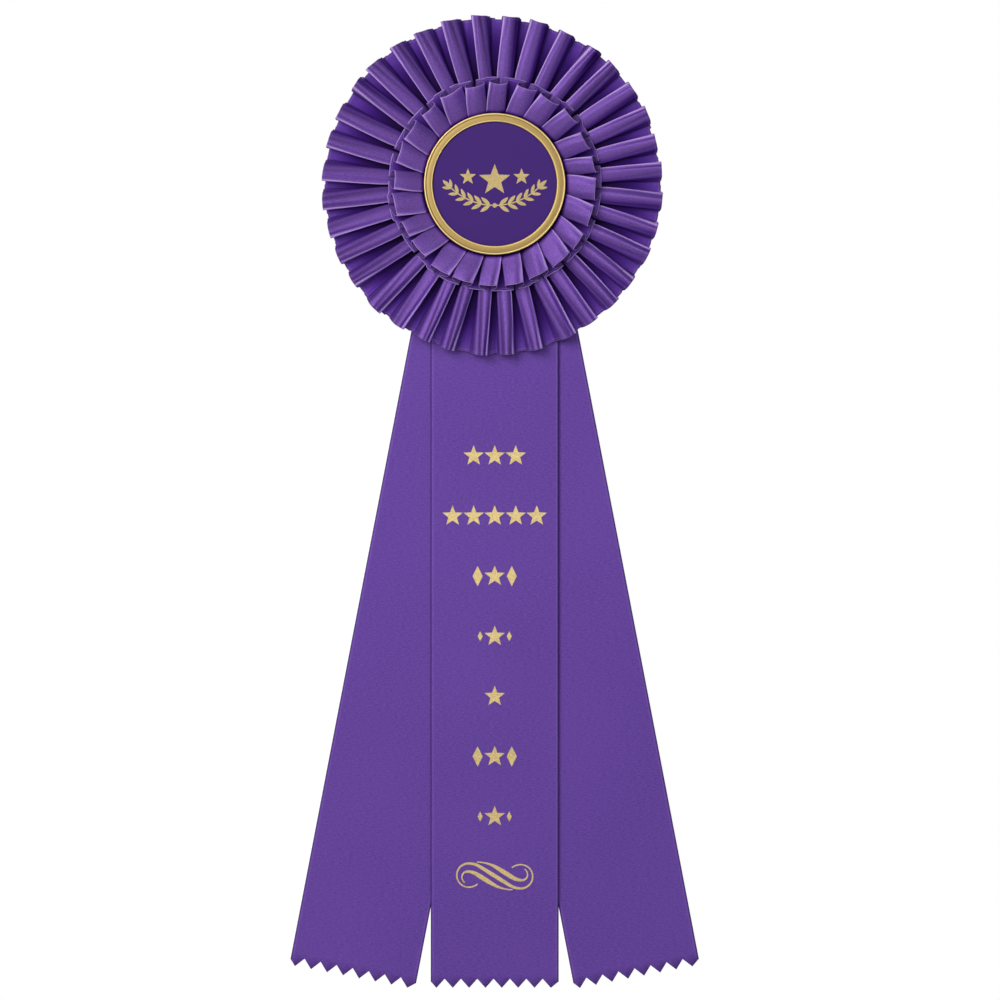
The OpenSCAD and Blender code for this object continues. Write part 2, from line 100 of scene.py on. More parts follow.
class Shader:
    """A material's node tree, with short calls for the nodes that it needs."""

    def __init__(self, name, **inputs):
        self.material = bpy.data.materials.new(name)
        self.material.use_nodes = True
        self.tree = self.material.node_tree
        self.bsdf = self.tree.nodes["Principled BSDF"]
        for key, value in inputs.items():
            self.bsdf.inputs[key.replace("_", " ")].default_value = value

    def node(self, kind, settings=None, **inputs):
        """A node of a kind, with its settings, and a value or another node's output for each named input."""
        node = self.tree.nodes.new("ShaderNode" + kind)
        for key, value in (settings or {}).items():
            setattr(node, key, value)
        for key, value in inputs.items():
            self.feed(node.inputs[key.replace("_", " ")], value)
        return node

    def feed(self, socket, value):
        """Links a node's output to a socket, or sets a plain value on it."""
        if isinstance(value, bpy.types.NodeSocket):
            self.tree.links.new(value, socket)
        else:
            socket.default_value = value

    def math(self, operation, a, b=0.0):
        node = self.tree.nodes.new("ShaderNodeMath")
        node.operation = operation
        self.feed(node.inputs[0], a)
        self.feed(node.inputs[1], b)
        return node.outputs[0]

    def mix(self, share, a, b):
        """Colour a at share 0 and colour b at share 1. The colour sockets come last in the node's list."""
        node = self.tree.nodes.new("ShaderNodeMix")
        node.data_type = "RGBA"
        self.feed(node.inputs[0], share)
        self.feed(node.inputs[6], a)
        self.feed(node.inputs[7], b)
        return node.outputs[2]

    def place(self, scale=(1, 1, 1), uv=None):
        """Millimetres times scale: the ribbon's (across, along) with uv, or else the scene's."""
        if uv:
            source = self.node("UVMap", {"uv_map": uv}).outputs[0]
            factor = scale
        else:
            source = self.node("TexCoord").outputs["Object"]
            factor = tuple(s / MM for s in scale)
        return self.node("Mapping", Vector=source, Scale=factor).outputs[0]

    def radius(self):
        """Distance from the rosette's axis, in millimetres."""
        at = self.node("SeparateXYZ", Vector=self.place())
        x = self.math("SUBTRACT", at.outputs[0], AXIS.x / MM)
        z = self.math("SUBTRACT", at.outputs[2], AXIS.z / MM)
        return self.math("SQRT", self.math("ADD", self.math("MULTIPLY", x, x), self.math("MULTIPLY", z, z)))

    def line(self, value, middle, half, soft):
        """One within half of the middle, and down to nought over the soft width beyond."""
        off = self.math("ABSOLUTE", self.math("SUBTRACT", value, middle))
        return self.spread(off, half, half + soft, 1.0, 0.0)

    def noise(self, place, detail=2.0, roughness=0.5):
        """Soft noise of about one lump for each unit of place."""
        return self.node("TexNoise", Vector=place, Scale=1.0, Detail=detail, Roughness=roughness).outputs[0]

    def spread(self, value, low, high, to_low=0.0, to_high=1.0):
        """value taken from the range low to high to the range to_low to to_high, and kept inside it."""
        return self.node(
            "MapRange", Value=value, From_Min=low, From_Max=high, To_Min=to_low, To_Max=to_high
        ).outputs[0]

    def bump(self, height, distance, strength):
        node = self.node("Bump", Height=height, Strength=strength, Distance=distance)
        self.feed(self.bsdf.inputs["Normal"], node.outputs[0])

    def set(self, key, value):
        """The same for one of the material's own inputs."""
        self.feed(self.bsdf.inputs[key], value)


SATIN_DARK = srgb(80, 54, 130)
SATIN_MID = srgb(106, 76, 162)
# the pleats are the streamers' purple satin; their copy of its colours is a little lighter and pinker, which
# stands for their sheen as painted light
LIT_PLEAT_DARK = srgb(86, 58, 130)
LIT_PLEAT_MID = srgb(116, 86, 164)
SATIN_LIGHT = srgb(140, 112, 188)
# painted highlight, for the pleats' crisp folds and their rim edges
SATIN_HIGHLIGHT = srgb(190, 164, 226)
# painted shade, a deep purple, for the pleats' valleys
SATIN_VALLEY_SHADE = srgb(66, 30, 128)
# painted shadow beside a streamer's edge
SATIN_EDGE_SHADOW = srgb(48, 30, 84)


def satin(name, creased, width=0, edge_highlight=0, shade_name="shade"):
    """Purple acetate satin: a fine rib across it, woven selvedges, and, where it is pleated, a painted
    highlight on its creases and painted shade in its valleys.

    The ribbon's first coordinate is the distance from its edge in millimetres. On a streamer it runs on to
    the other edge, at width. A painted shadow darkens a streamer's edge, and a painted highlight of the
    given strength lightens a pleated one's."""
    metallic = 0.45 if creased else 0.15
    s = Shader(name, Metallic=metallic, Specular_IOR_Level=0.06, Specular_Tint=(1.0, 0.75, 0.95, 1))
    ribs = s.noise(s.place((0.6, 3.4, 1), uv="ribbon"), detail=3.0, roughness=0.6)
    grain = s.noise(s.place((1.8, 2.2, 1), uv="ribbon"), detail=3.0, roughness=0.7)
    cloud = s.noise(s.place((0.02, 0.02, 0.02)), detail=1.0)
    weave = s.math("ADD", s.math("MULTIPLY", ribs, 0.45), s.math("MULTIPLY", grain, 0.55))
    dark, mid = (LIT_PLEAT_DARK, LIT_PLEAT_MID) if creased else (SATIN_DARK, SATIN_MID)
    colour = s.mix(s.spread(weave, 0.36, 0.64), dark, mid)
    colour = s.mix(s.spread(cloud, 0.35, 0.65, 0.0, 0.15), colour, mid)
    across = s.node("SeparateXYZ", Vector=s.node("UVMap", {"uv_map": "ribbon"}).outputs[0]).outputs[0]
    if not creased:
        off_centre = s.math("ABSOLUTE", s.math("SUBTRACT", across, width / 2))
        across = s.math("SUBTRACT", width / 2, off_centre)
    selvedge = s.line(across, middle=0.95, half=0.08, soft=0.17)
    # a painted line along the ribbon's edge: a painted shadow on a streamer, a painted highlight on a
    # pleated ribbon
    edge = s.spread(across, 0.15, 0.4, 1.0, 0.0)
    if creased:
        crease = s.node("Attribute", {"attribute_name": "crease"}).outputs["Fac"]
        shade = s.node("Attribute", {"attribute_name": shade_name}).outputs["Fac"]
        # painted highlight along each crisp fold
        colour = s.mix(s.math("MULTIPLY", crease, 0.75), colour, SATIN_HIGHLIGHT)
        # painted shade from the shade attribute: to a deep purple, then to black, down in the valleys,
        # beside the button's rim and on the front panels' sides
        colour = s.mix(s.spread(shade, 0.25, 1.0), SATIN_VALLEY_SHADE, colour)
        colour = s.mix(s.spread(shade, 0.0, 0.5, 0.02, 1.0), (0, 0, 0, 1), colour)
    colour = s.mix(s.math("MULTIPLY", selvedge, 0.22), colour, SATIN_LIGHT)
    edge_share, painted_edge_colour = (edge_highlight, SATIN_HIGHLIGHT) if creased else (0.9, SATIN_EDGE_SHADOW)
    colour = s.mix(s.math("MULTIPLY", edge, edge_share), colour, painted_edge_colour)
    s.set("Base Color", colour)
    rough = 0.58 if creased else 0.52
    s.set("Roughness", s.spread(weave, 0.3, 0.7, rough, rough - 0.1))
    s.bump(weave, 0.05 * MM, 0.6)
    return s.material


def printed_face():
    """The disc's dark purple print under a clear film, with a painted shadow at its edge under the rim's
    lip.
    """
    s = Shader("printed_face", Roughness=0.5, Specular_IOR_Level=0.12)
    grain = s.noise(s.place((4, 4, 4)), detail=2.0)
    colour = s.mix(s.spread(grain, 0.3, 0.7), srgb(56, 28, 106), srgb(60, 31, 110))
    # painted shadow: the disc darkens towards its edge, under the rim's lip
    under_lip = s.spread(s.radius(), FACE_R / MM - 0.5, FACE_R / MM, 0.0, 0.6)
    s.set("Base Color", s.mix(under_lip, colour, srgb(20, 8, 40)))
    s.bump(grain, 0.01 * MM, 0.3)
    return s.material


def rim_gold():
    """The rim's matt gold plate, with a painted highlight on the bead and the lip, and painted shade in the
    groove beside the bead.
    """
    s = Shader("satin_gold_plate", Metallic=0.75)
    grain = s.noise(s.place((2, 2, 2)), detail=3.0, roughness=0.6)
    radius = s.radius()
    colour = s.mix(s.spread(grain, 0.35, 0.65), srgb(155, 134, 79), srgb(167, 145, 87))
    # painted shade in the groove beside the bead
    groove = s.line(radius, middle=BUTTON_R / MM - 0.85, half=0.05, soft=0.2)
    colour = s.mix(s.math("MULTIPLY", groove, 0.3), colour, srgb(104, 82, 44))
    # painted highlights along the bead and the lip
    bead = s.line(radius, middle=BUTTON_R / MM - 0.36, half=0.2, soft=0.16)
    lip = s.line(radius, middle=FACE_R / MM + 0.3, half=0.12, soft=0.2)
    colour = s.mix(s.math("MAXIMUM", bead, s.math("MULTIPLY", lip, 0.6)), colour, srgb(232, 208, 138))
    s.set("Base Color", colour)
    s.set("Roughness", s.spread(grain, 0.3, 0.7, 0.49, 0.61))
    s.bump(grain, 0.01 * MM, 0.5)
    return s.material


def foil(name, low, high):
    """Hot-stamped foil: matt gold that shows the ribs of the satin through it, with tiny misses."""
    s = Shader(name, Metallic=0.75)
    ribs = s.noise(s.place((0.3, 1, 3.0)), detail=2.0)
    specks = s.noise(s.place((2.2, 2.2, 2.2)), detail=3.0, roughness=0.65)
    colour = s.mix(s.spread(specks, 0.35, 0.6), low, high)
    colour = s.mix(s.spread(ribs, 0.6, 0.72, 0.0, 0.35), colour, srgb(150, 120, 110))
    s.set("Base Color", colour)
    s.set("Roughness", s.spread(specks, 0.3, 0.7, 0.42, 0.6))
    s.bump(s.math("ADD", ribs, specks), 0.04 * MM, 0.6)
    return s.material


def board(name, low, high, fleck, roughness=0.85):
    """Card: pressed fibres with a few darker flecks."""
    s = Shader(name, Roughness=roughness)
    fibres = s.noise(s.place((0.5, 0.5, 2.4)), detail=4.0, roughness=0.65)
    flecks = s.noise(s.place((1.7, 1.7, 1.7)), detail=2.0)
    colour = s.mix(s.spread(fibres, 0.3, 0.7), low, high)
    colour = s.mix(s.spread(flecks, 0.66, 0.72, 0.0, 0.6), colour, fleck)
    s.set("Base Color", colour)
    s.bump(fibres, 0.08 * MM, 0.5)
    return s.material


def foam():
    """White foam with fine cells."""
    s = Shader("white_foam", Roughness=0.9)
    cells = s.node("TexVoronoi", Vector=s.place((2.6, 2.6, 2.6)), Scale=1.0).outputs[0]
    s.set("Base Color", s.mix(s.spread(cells, 0.1, 0.6), srgb(206, 205, 198), srgb(240, 240, 236)))
    s.bump(cells, 0.15 * MM, 0.7)
    return s.material


def glue():
    """Hot-melt glue: cream, glossy and lumpy."""
    s = Shader("hot_melt_glue", Roughness=0.3)
    lumps = s.noise(s.place((0.5, 0.5, 0.5)), detail=3.0)
    s.set("Base Color", s.mix(s.spread(lumps, 0.3, 0.7), srgb(206, 196, 160), srgb(232, 226, 200)))
    s.bump(lumps, 0.4 * MM, 0.7)
    return s.material


def thread():
    """Purple sewing thread with its twist as slanting bands."""
    s = Shader("sewing_thread", Roughness=0.75)
    place = s.place((1.6, 1.6, 1.6))
    twist = s.node("TexWave", {"bands_direction": "DIAGONAL"}, Vector=place, Scale=1.0).outputs["Fac"]
    s.set("Base Color", s.mix(twist, srgb(52, 30, 96), srgb(84, 60, 130)))
    s.bump(twist, 0.1 * MM, 0.6)
    return s.material


def steel(name, low, high, roughness):
    """Nickel-plated or tinned steel with fine drawing marks along X."""
    s = Shader(name, Metallic=1.0)
    marks = s.noise(s.place((0.4, 9, 9)), detail=3.0, roughness=0.6)
    smudge = s.noise(s.place((0.25, 0.25, 0.25)), detail=2.0)
    s.set("Base Color", s.mix(s.spread(smudge, 0.35, 0.65), low, high))
    s.set("Roughness", s.spread(marks, 0.3, 0.7, roughness - 0.05, roughness + 0.08))
    s.bump(marks, 0.02 * MM, 0.4)
    return s.material


STREAMER_SATIN = satin("streamer_satin", False, width=STREAMER_W / MM)
OUTER_SATIN = satin("outer_pleated_satin", True, edge_highlight=0.25)
INNER_SATIN = satin("inner_pleated_satin", True, edge_highlight=0.7)
REAR_SATIN = satin("pleated_satin_rear", True, edge_highlight=0.25, shade_name="rear_shade")
PRINTED_FACE = printed_face()
GOLD_RIM = rim_gold()
GOLD_FOIL = foil("gold_foil", srgb(176, 156, 96), srgb(214, 197, 138))
DISC_FOIL = foil("gold_foil_on_disc", srgb(152, 134, 88), srgb(182, 165, 114))
CHIPBOARD = board("grey_chipboard", srgb(150, 134, 112), srgb(182, 167, 143), srgb(105, 90, 72))
WHITE_BOARD = board(
    "white_coated_card", srgb(226, 224, 216), srgb(240, 239, 233), srgb(205, 200, 188), roughness=0.55
)
FOAM = foam()
GLUE = glue()
THREAD = thread()
TINPLATE = steel("tinplate", srgb(172, 172, 170), srgb(196, 196, 194), roughness=0.4)
PIN_STEEL = steel("nickel_plated_steel", srgb(200, 201, 204), srgb(222, 222, 224), roughness=0.36)

CAD_MATERIALS = {
    "outer_thread": THREAD,
    "inner_thread": THREAD,
    "outer_glue": GLUE,
    "inner_glue": GLUE,
    "base_card": CHIPBOARD,
    "inner_card": CHIPBOARD,
    "back_card": WHITE_BOARD,
    "button_back": TINPLATE,
    "button_disc": PRINTED_FACE,
    "button_emblem": DISC_FOIL,
    "streamer_staple": PIN_STEEL,
    "tape_pads": FOAM,
    "pin_pad": FOAM,
    "pin_bar": PIN_STEEL,
    "hinge_rivet": PIN_STEEL,
    "pin_needle": PIN_STEEL,
    "safety_catch": PIN_STEEL,
}

for node_name, material in CAD_MATERIALS.items():
    NODES[node_name].data.materials.clear()
    NODES[node_name].data.materials.append(material)


# ---- Mesh helpers ----


def add_object(name, data):
    """A new object in the scene."""
    obj = bpy.data.objects.new(name, data)
    bpy.context.scene.collection.objects.link(obj)
    return obj


def add_mesh(name, points, faces, material):
    """A new mesh object in the scene."""
    mesh = bpy.data.meshes.new(name)
    mesh.from_pydata(points, [], faces)
    mesh.materials.append(material)
    mesh.update()
    return add_object(name, mesh)


def grid_mesh(name, rows, uvs, material, wrap=False, attributes=None):
    """A sheet from rows of points, each with its (across, along) place on the ribbon in millimetres.

    With wrap, each row closes into a ring. attributes gives each point's values by name."""
    count = len(rows[0])
    faces = []
    corners = []
    for i in range(len(rows) - 1):
        for j in range(count if wrap else count - 1):
            k = (j + 1) % count
            faces.append((i * count + j, i * count + k, (i + 1) * count + k, (i + 1) * count + j))
            corners += [uvs[i][j], uvs[i][j + 1], uvs[i + 1][j + 1], uvs[i + 1][j]]
    piece = add_mesh(name, [tuple(p) for row in rows for p in row], faces, material)
    mesh = piece.data
    layer = mesh.uv_layers.new(name="ribbon")
    for loop, uv in zip(layer.data, corners):
        loop.uv = uv
    for key, values in (attributes or {}).items():
        attribute = mesh.attributes.new(key, "FLOAT", "POINT")
        attribute.data.foreach_set("value", [v for row in values for v in row])
    mesh.shade_smooth()
    return piece


def apply_modifiers(piece):
    """Leaves a piece with its modifiers' result as its mesh."""
    depsgraph = bpy.context.evaluated_depsgraph_get()
    mesh = bpy.data.meshes.new_from_object(piece.evaluated_get(depsgraph))
    piece.modifiers.clear()
    piece.data = mesh


def thicken(piece, thickness, rear_material=None):
    """Gives a sheet its thickness, half to each side, and its rear face a material of its own."""
    solid = piece.modifiers.new("thickness", "SOLIDIFY")
    solid.thickness = thickness
    solid.offset = 0
    if rear_material:
        piece.data.materials.append(rear_material)
        solid.material_offset = 1
    apply_modifiers(piece)


# ---- Ruffles ----

SATIN_T = 0.25 * MM
FILLET_SHARE = 0.46  # the most that a rounded corner takes of each of its sides


def smooth(t):
    """Nought below 0, one above 1 and an easy rise between."""
    t = min(1.0, max(0.0, t))
    return t * t * (3 - 2 * t)


def lerp(a, b, t):
    """The value at share t of the way from a to b."""
    return a + (b - a) * t


def fillet(before, corner, after, reach, steps):
    """Points of a rounded corner: reach is how far along each side of the corner it starts."""
    def towards(target):
        side = target - corner
        return corner + side.normalized() * min(reach, FILLET_SHARE * side.length)

    a, b = towards(before), towards(after)
    shares = [i / steps for i in range(steps + 1)]
    return [a * (1 - t) ** 2 + corner * 2 * t * (1 - t) + b * t ** 2 for t in shares]


class Pleats:
    """One ring of box pleats. Lengths are in metres.

    At each radius a pleat is a line from the middle of one back panel to the middle of the next: up the
    side wall, over the front panel and down the other wall. The anticlockwise edge of each front panel
    is a crisp fold that stands proud, and its clockwise edge is a soft one that drops under its neighbour.

    shape gives these at a share v of the way from the inner edge to the rim:
    radius, front and back: the ring's radius, and the width of its front and back panels;
    height, drop and slope: how far the front panels stand forward, how much lower their clockwise fold is
    than the crisp one, and how far out the foot below it is;
    crown, bow, ridge and dip: the bulge of a front panel and of the side walls, the front panel's ripples,
    and the hollow beside its crisp fold;
    crisp and soft: how far the two folds are rounded;
    lean_spread, shift_spread, trim_spread and ripple: how much single pleats differ in place and length;
    twist: how far round the pleats turn, in pleats;
    front_reach and back_reach: the rim's radius at the front and back panels, by the place on the clock;
    dish: how hollow a front panel's trimmed edge is;
    open, dusk and lee: how far the painted shade in the valleys lifts near the rim, and the painted shade on
    the front panel's clockwise side and beside its crisp fold, set by the pleat's place on the clock.
    """

    SIDE_STEPS = 4
    FOLD_STEPS = 6
    FRONT_STEPS = 14
    BACK_STEPS = 3
    FOOT_ROUNDING = 0.6  # of the soft fold's
    DIP_AT = 0.15  # of the way across a front panel
    DIP_HALF = 0.1
    RIPPLE_L = 9 * MM
    SHADE_RISE = 1.15  # over 1, so that a side wall's painted shade is full a little before its foot
    OPENING_POWER = 2.5  # a higher power keeps the valleys' painted shade deep until nearer the rim
    # how dark the painted shade gets in the valleys, on the rear side and beside the button's rim
    VALLEY_DARK = 0.98
    REAR_DARK = 0.9
    BUTTON_DARK = 0.97
    BUTTON_SHADE_W = 1.7 * MM
    DUSK_FROM = 0.1  # this and the next two are shares of the way from a front panel's middle to its fold
    LEE_AT = 0.7
    LEE_HALF = 0.17

    def __init__(self, seed, count, phase, r_in, rear, shape):
        self.random = random.Random(seed)
        self.count = count
        self.phase = phase
        self.r_in = r_in
        self.rear = rear
        self.shape = shape
        self.pleats = [self.vary() for _ in range(count)]

    def vary(self):
        """One pleat's own differences: shares of the shape's sizes, or steps of its spreads."""
        r = self.random
        return {
            "width": r.gauss(1, 0.07),
            "height": r.gauss(1, 0.06),
            "drop": max(0.3, r.gauss(1, 0.3)),
            "crown": r.gauss(1, 0.35),
            "lean": r.gauss(0, 1),
            "shift": r.gauss(0, 1),
            "trim": r.gauss(0, 1),
            "soft": r.uniform(0.6, 1.4),
        }

    def section(self, k, v):
        """Pleat k at share v: its radius, its points, how creased each of them is, and its height."""
        p = self.pleats[k]
        s = self.shape(v)
        radius = s["radius"]
        pitch = 2 * math.pi * radius / self.count
        shift = (p["lean"] * s["lean_spread"] * (v - 0.4) + p["shift"] * s["shift_spread"]) * pitch
        front = s["front"] * lerp(1, p["width"], smooth(v * 2))
        back = s["back"]
        height = s["height"] * lerp(1, p["height"], smooth(v * 1.5))
        drop = s["drop"] * p["drop"]
        crown = s["crown"] * p["crown"]
        high, low = height + drop / 2, height - drop / 2
        start, end = Vector((-pitch / 2, 0)), Vector((pitch / 2, 0))
        foot_a = Vector((-pitch / 2 + back / 2, 0))
        foot_b = Vector((pitch / 2 - back / 2 + s["slope"], 0))
        ccw = Vector((-front / 2 + shift, high))
        cw = Vector((front / 2 + shift, low))
        foot_rounding = s["soft"] * self.FOOT_ROUNDING
        foot = fillet(start, foot_a, ccw, foot_rounding, self.FOLD_STEPS - 2)
        line = [start.lerp(foot[0], i / self.BACK_STEPS) for i in range(self.BACK_STEPS)]
        creases = [0.0] * len(line)

        def add(points, creased=None):
            line.extend(points)
            creases.extend(creased or [0.0] * len(points))

        def add_wall(bottom, top, bow):
            for i in range(1, self.SIDE_STEPS):
                t = i / self.SIDE_STEPS
                add([bottom.lerp(top, t) + Vector((bow * math.sin(math.pi * t), 0))])

        add(foot)
        crisp = fillet(foot_a, ccw, cw, s["crisp"], self.FOLD_STEPS)
        add_wall(foot[-1], crisp[0], -s["bow"])
        add(crisp, [math.sin(math.pi * (i + 0.6) / (self.FOLD_STEPS + 1.2)) for i in range(len(crisp))])
        round_fold = fillet(ccw, cw, foot_b, s["soft"] * p["soft"], self.FOLD_STEPS)
        a, b = crisp[-1], round_fold[0]
        for i in range(1, self.FRONT_STEPS):
            t = i / self.FRONT_STEPS
            ridge = s["ridge"] * noise.noise(Vector((k * 7.3, t * 3.1, v * 1.3)))
            dip = s["dip"] * math.exp(-((t - self.DIP_AT) / self.DIP_HALF) ** 2)
            add([a.lerp(b, t) + Vector((0, (crown + ridge) * 4 * t * (1 - t) - dip))])
        add(round_fold)
        next_foot = fillet(cw, foot_b, end, foot_rounding, self.FOLD_STEPS - 2)
        add_wall(round_fold[-1], next_foot[0], s["bow"])
        add(next_foot)
        add([next_foot[-1].lerp(end, i / self.BACK_STEPS) for i in range(1, self.BACK_STEPS)])
        return radius, line, creases, height

    def raised(self, q, height):
        """How far forward a section's point stands, from 0 at the back panels to 1 at the front ones."""
        return min(1.0, max(0.0, q.y / height))

    def point(self, k, v, radius, q, height):
        """A section's point in the scene."""
        p = self.pleats[k]
        s = self.shape(v)
        turn = self.phase + 2 * math.pi * (k + s["twist"]) / self.count
        angle = turn + q.x / radius
        share = self.raised(q, height)
        reach = s["front_reach"](turn) * share + s["back_reach"](turn) * (1 - share)
        r = self.r_in + (reach - self.r_in) * v
        r += p["trim"] * s["trim_spread"] * v
        half = min(1.0, abs(q.x) / (s["front"] / 2))
        r += s["dish"] * (0.3 + 0.7 * math.cos(turn)) * (half * half - 0.5) * share
        spot = Vector((r * math.sin(angle), self.rear - q.y, r * math.cos(angle)))
        ripple = noise.noise(spot / self.RIPPLE_L + Vector((k * 0.37, 0, 0)))
        spot.y -= s["ripple"] * ripple * v
        return spot + Vector((AXIS.x, 0, AXIS.z))

    def closed(self, v):
        """How deep the valleys' painted shade is at share v."""
        return 1 - self.shape(v)["open"] * v ** self.OPENING_POWER

    def shade(self, k, v, q, height):
        """How bright the satin's painted shade leaves it: painted shade down in the valleys and beside the
        button's rim, and on a front panel's two sides, by the pleat's place on the clock."""
        s = self.shape(v)
        turn = self.phase + 2 * math.pi * k / self.count
        share = self.raised(q, height)
        depth = smooth(self.SHADE_RISE * (1 - share)) * self.closed(v)
        x = q.x / (s["front"] / 2)
        # painted shade on a front panel's clockwise side and beside its crisp fold, stronger where the light
        # from the upper left misses them
        dusk = s["dusk"](turn) * smooth((x - self.DUSK_FROM) / (1 - self.DUSK_FROM)) * share
        lee = s["lee"](turn) * math.exp(-((x + self.LEE_AT) / self.LEE_HALF) ** 2) * share
        # painted shade on the satin beside the button's rim
        gap = self.r_in + (s["front_reach"](0) - self.r_in) * v - BUTTON_R
        button_shade = 1 - smooth(gap / self.BUTTON_SHADE_W)
        valley = 1 - self.VALLEY_DARK * depth
        return valley * (1 - dusk) * (1 - lee) * (1 - self.BUTTON_DARK * button_shade)

    def rear_shade(self, v, q, height):
        """The same painted shade for the side that faces the back, where the front panels are the deep ones.
        """
        share = self.raised(q, height)
        return 1 - self.REAR_DARK * smooth(self.SHADE_RISE * share) * self.closed(v)

    def ring(self, v):
        """Each pleat's points at share v, each as its place, crease, shade and rear shade."""
        pleats = []
        for k in range(self.count):
            radius, line, creases, height = self.section(k, v)
            pleats.append([
                (
                    self.point(k, v, radius, q, height),
                    crease,
                    self.shade(k, v, q, height),
                    self.rear_shade(v, q, height),
                )
                for q, crease in zip(line, creases)
            ])
        return pleats

    def build(self, name, shares, ribbon_w, material):
        """The pleated satin and the length of ribbon in it, which the pleats share equally.

        shares says how far across the ribbon each row of points is, from the inner edge to the rim."""
        rings = [self.ring(v) for v in shares]
        rim = [place for pleat in rings[-1] for place, *_ in pleat]
        length = sum((b - a).length for a, b in zip(rim, rim[1:] + rim[:1]))
        pleat_length = length / self.count / MM
        rows, uvs, creases, shades, rear_shades = [], [], [], [], []
        for v, ring in zip(shares, rings):
            across = ribbon_w * (1 - v) / MM
            uv_row = []
            for k, pleat in enumerate(ring):
                places = [place for place, *_ in pleat] + [ring[(k + 1) % self.count][0][0]]
                steps = [(b - a).length for a, b in zip(places, places[1:])]
                along = 0.0
                for step in steps:
                    uv_row.append((across, (k + along / sum(steps)) * pleat_length))
                    along += step
            uv_row.append((across, self.count * pleat_length))
            uvs.append(uv_row)
            points = [point for pleat in ring for point in pleat]
            for values, column in zip((rows, creases, shades, rear_shades), zip(*points)):
                values.append(list(column))
        attributes = {"crease": creases, "shade": shades, "rear_shade": rear_shades}
        piece = grid_mesh(name, rows, uvs, material, wrap=True, attributes=attributes)
        thicken(piece, SATIN_T, REAR_SATIN)
        return piece, length


OUTER_COUNT = 36
OUTER_IN = 31.2 * MM
OUTER_RIM = (OUTER_HIGH.x - OUTER_LOW.x) / 2
OUTER_RIBBON = 36.5 * MM
OUTER_PANEL = 6.5 * MM
OUTER_PRESSED = 0.84  # the share of the pitch that a front panel takes where the pleats are pressed flat
INNER_COUNT = 24
INNER_IN = 19.9 * MM
INNER_RIM = 41 * MM
INNER_RIBBON = 22.2 * MM
INNER_REACH = 40.0 * MM
INNER_BACK_REACH = INNER_REACH + 2.4 * MM
RUFFLE_ROWS = 16


def outer_shape(v):
    radius = lerp(OUTER_IN, OUTER_RIM, v)
    pitch = 2 * math.pi * radius / OUTER_COUNT
    front = min(OUTER_PANEL, pitch * OUTER_PRESSED)
    return {
        "radius": radius,
        "front": front,
        "back": front + 0.5 * MM * v,
        "height": (1.35 + 3.0 * v ** 0.8) * MM,
        "drop": (0.35 + 0.85 * smooth(v * 2)) * MM,
        "crown": (0.25 + 0.95 * v) * MM,
        "bow": 0.6 * MM * v,
        "crisp": (0.45 + 0.5 * smooth((v - 0.6) / 0.4)) * MM,
        "ridge": 0.2 * MM * v,
        "dip": 0.4 * MM * v,
        "soft": (0.8 + 1.4 * v) * MM,
        # open, dusk and lee set the painted shade: in the valleys, and on the front panels by their place on
        # the clock
        "open": 0.6,
        "dusk": lambda turn: 0.57 + 0.14 * math.sin(turn) + 0.27 * math.cos(turn),
        "lee": lambda turn: 0.25 - 0.3 * math.cos(turn),
        "lean_spread": 0.1,
        "shift_spread": 0.045,
        "twist": 0.0,
        "slope": 1.3 * MM * smooth(v * 1.6 - 0.3),
        "front_reach": lambda turn: OUTER_RIM - (0.1 + 1.0 * math.sin(turn) + 0.3 * math.cos(turn)) * MM,
        "back_reach": lambda turn: OUTER_RIM - (1.1 + 0.8 * math.sin(turn) + 0.4 * math.cos(turn)) * MM,
        "dish": 0.5 * MM * v,
        "trim_spread": 0.22 * MM,
        "ripple": 0.3 * MM,
    }


def inner_shape(v):
    radius = lerp(INNER_IN, INNER_RIM, v)
    pitch = 2 * math.pi * radius / INNER_COUNT
    front = min(lerp(8.6, 9.2, v) * MM, pitch * lerp(0.92, 1.3, smooth(v * 3)))
    return {
        "radius": radius,
        "front": front,
        "back": front * 1.02,
        "height": (1.2 + 1.3 * smooth(v / 0.38) + 3.0 * smooth((v - 0.3) / 0.7)) * MM,
        "drop": (0.4 + 1.5 * smooth(v * 3) - 0.9 * smooth((v - 0.4) / 0.6)) * MM,
        "crown": (0.05 + 0.6 * v) * MM,
        "bow": 1.0 * MM * v * v,
        "crisp": (0.4 + 0.8 * smooth((v - 0.6) / 0.4)) * MM,
        "ridge": 0.3 * MM * v,
        "dip": 0.3 * MM * v,
        "soft": (0.5 + 0.9 * v) * MM,
        # open, dusk and lee set the painted shade: in the valleys, and on the front panels by their place on
        # the clock
        "open": 0.5,
        "dusk": lambda turn: 0.25 + 0.2 * math.cos(turn),
        "lee": lambda turn: 0.1,
        "lean_spread": 0.06,
        "shift_spread": 0.03,
        "twist": 3 * v / INNER_COUNT,
        "slope": 0,
        "front_reach": lambda turn: INNER_REACH - 0.3 * math.cos(turn) * MM,
        "back_reach": lambda turn: INNER_BACK_REACH,
        "dish": 1.0 * MM * v * v,
        "trim_spread": 0.25 * MM,
        "ripple": 0.25 * MM,
    }


def row_shares(ribbon_w, extra=()):
    """Shares of the way across a ribbon, even ones with more at the rim's selvedge and the extra ones."""
    even = [i / RUFFLE_ROWS for i in range(RUFFLE_ROWS)]
    selvedge = [1 - d * MM / ribbon_w for d in (1.2, 0.5)]
    return sorted(set(even + selvedge + list(extra) + [1.0]))


def ruffle(node, pleats, shares, ribbon_w, material):
    """One ruffle's satin, in place of its node."""
    piece, length = pleats.build(node + "_satin", shares, ribbon_w, material)
    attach(piece, "rosette")
    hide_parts(node)


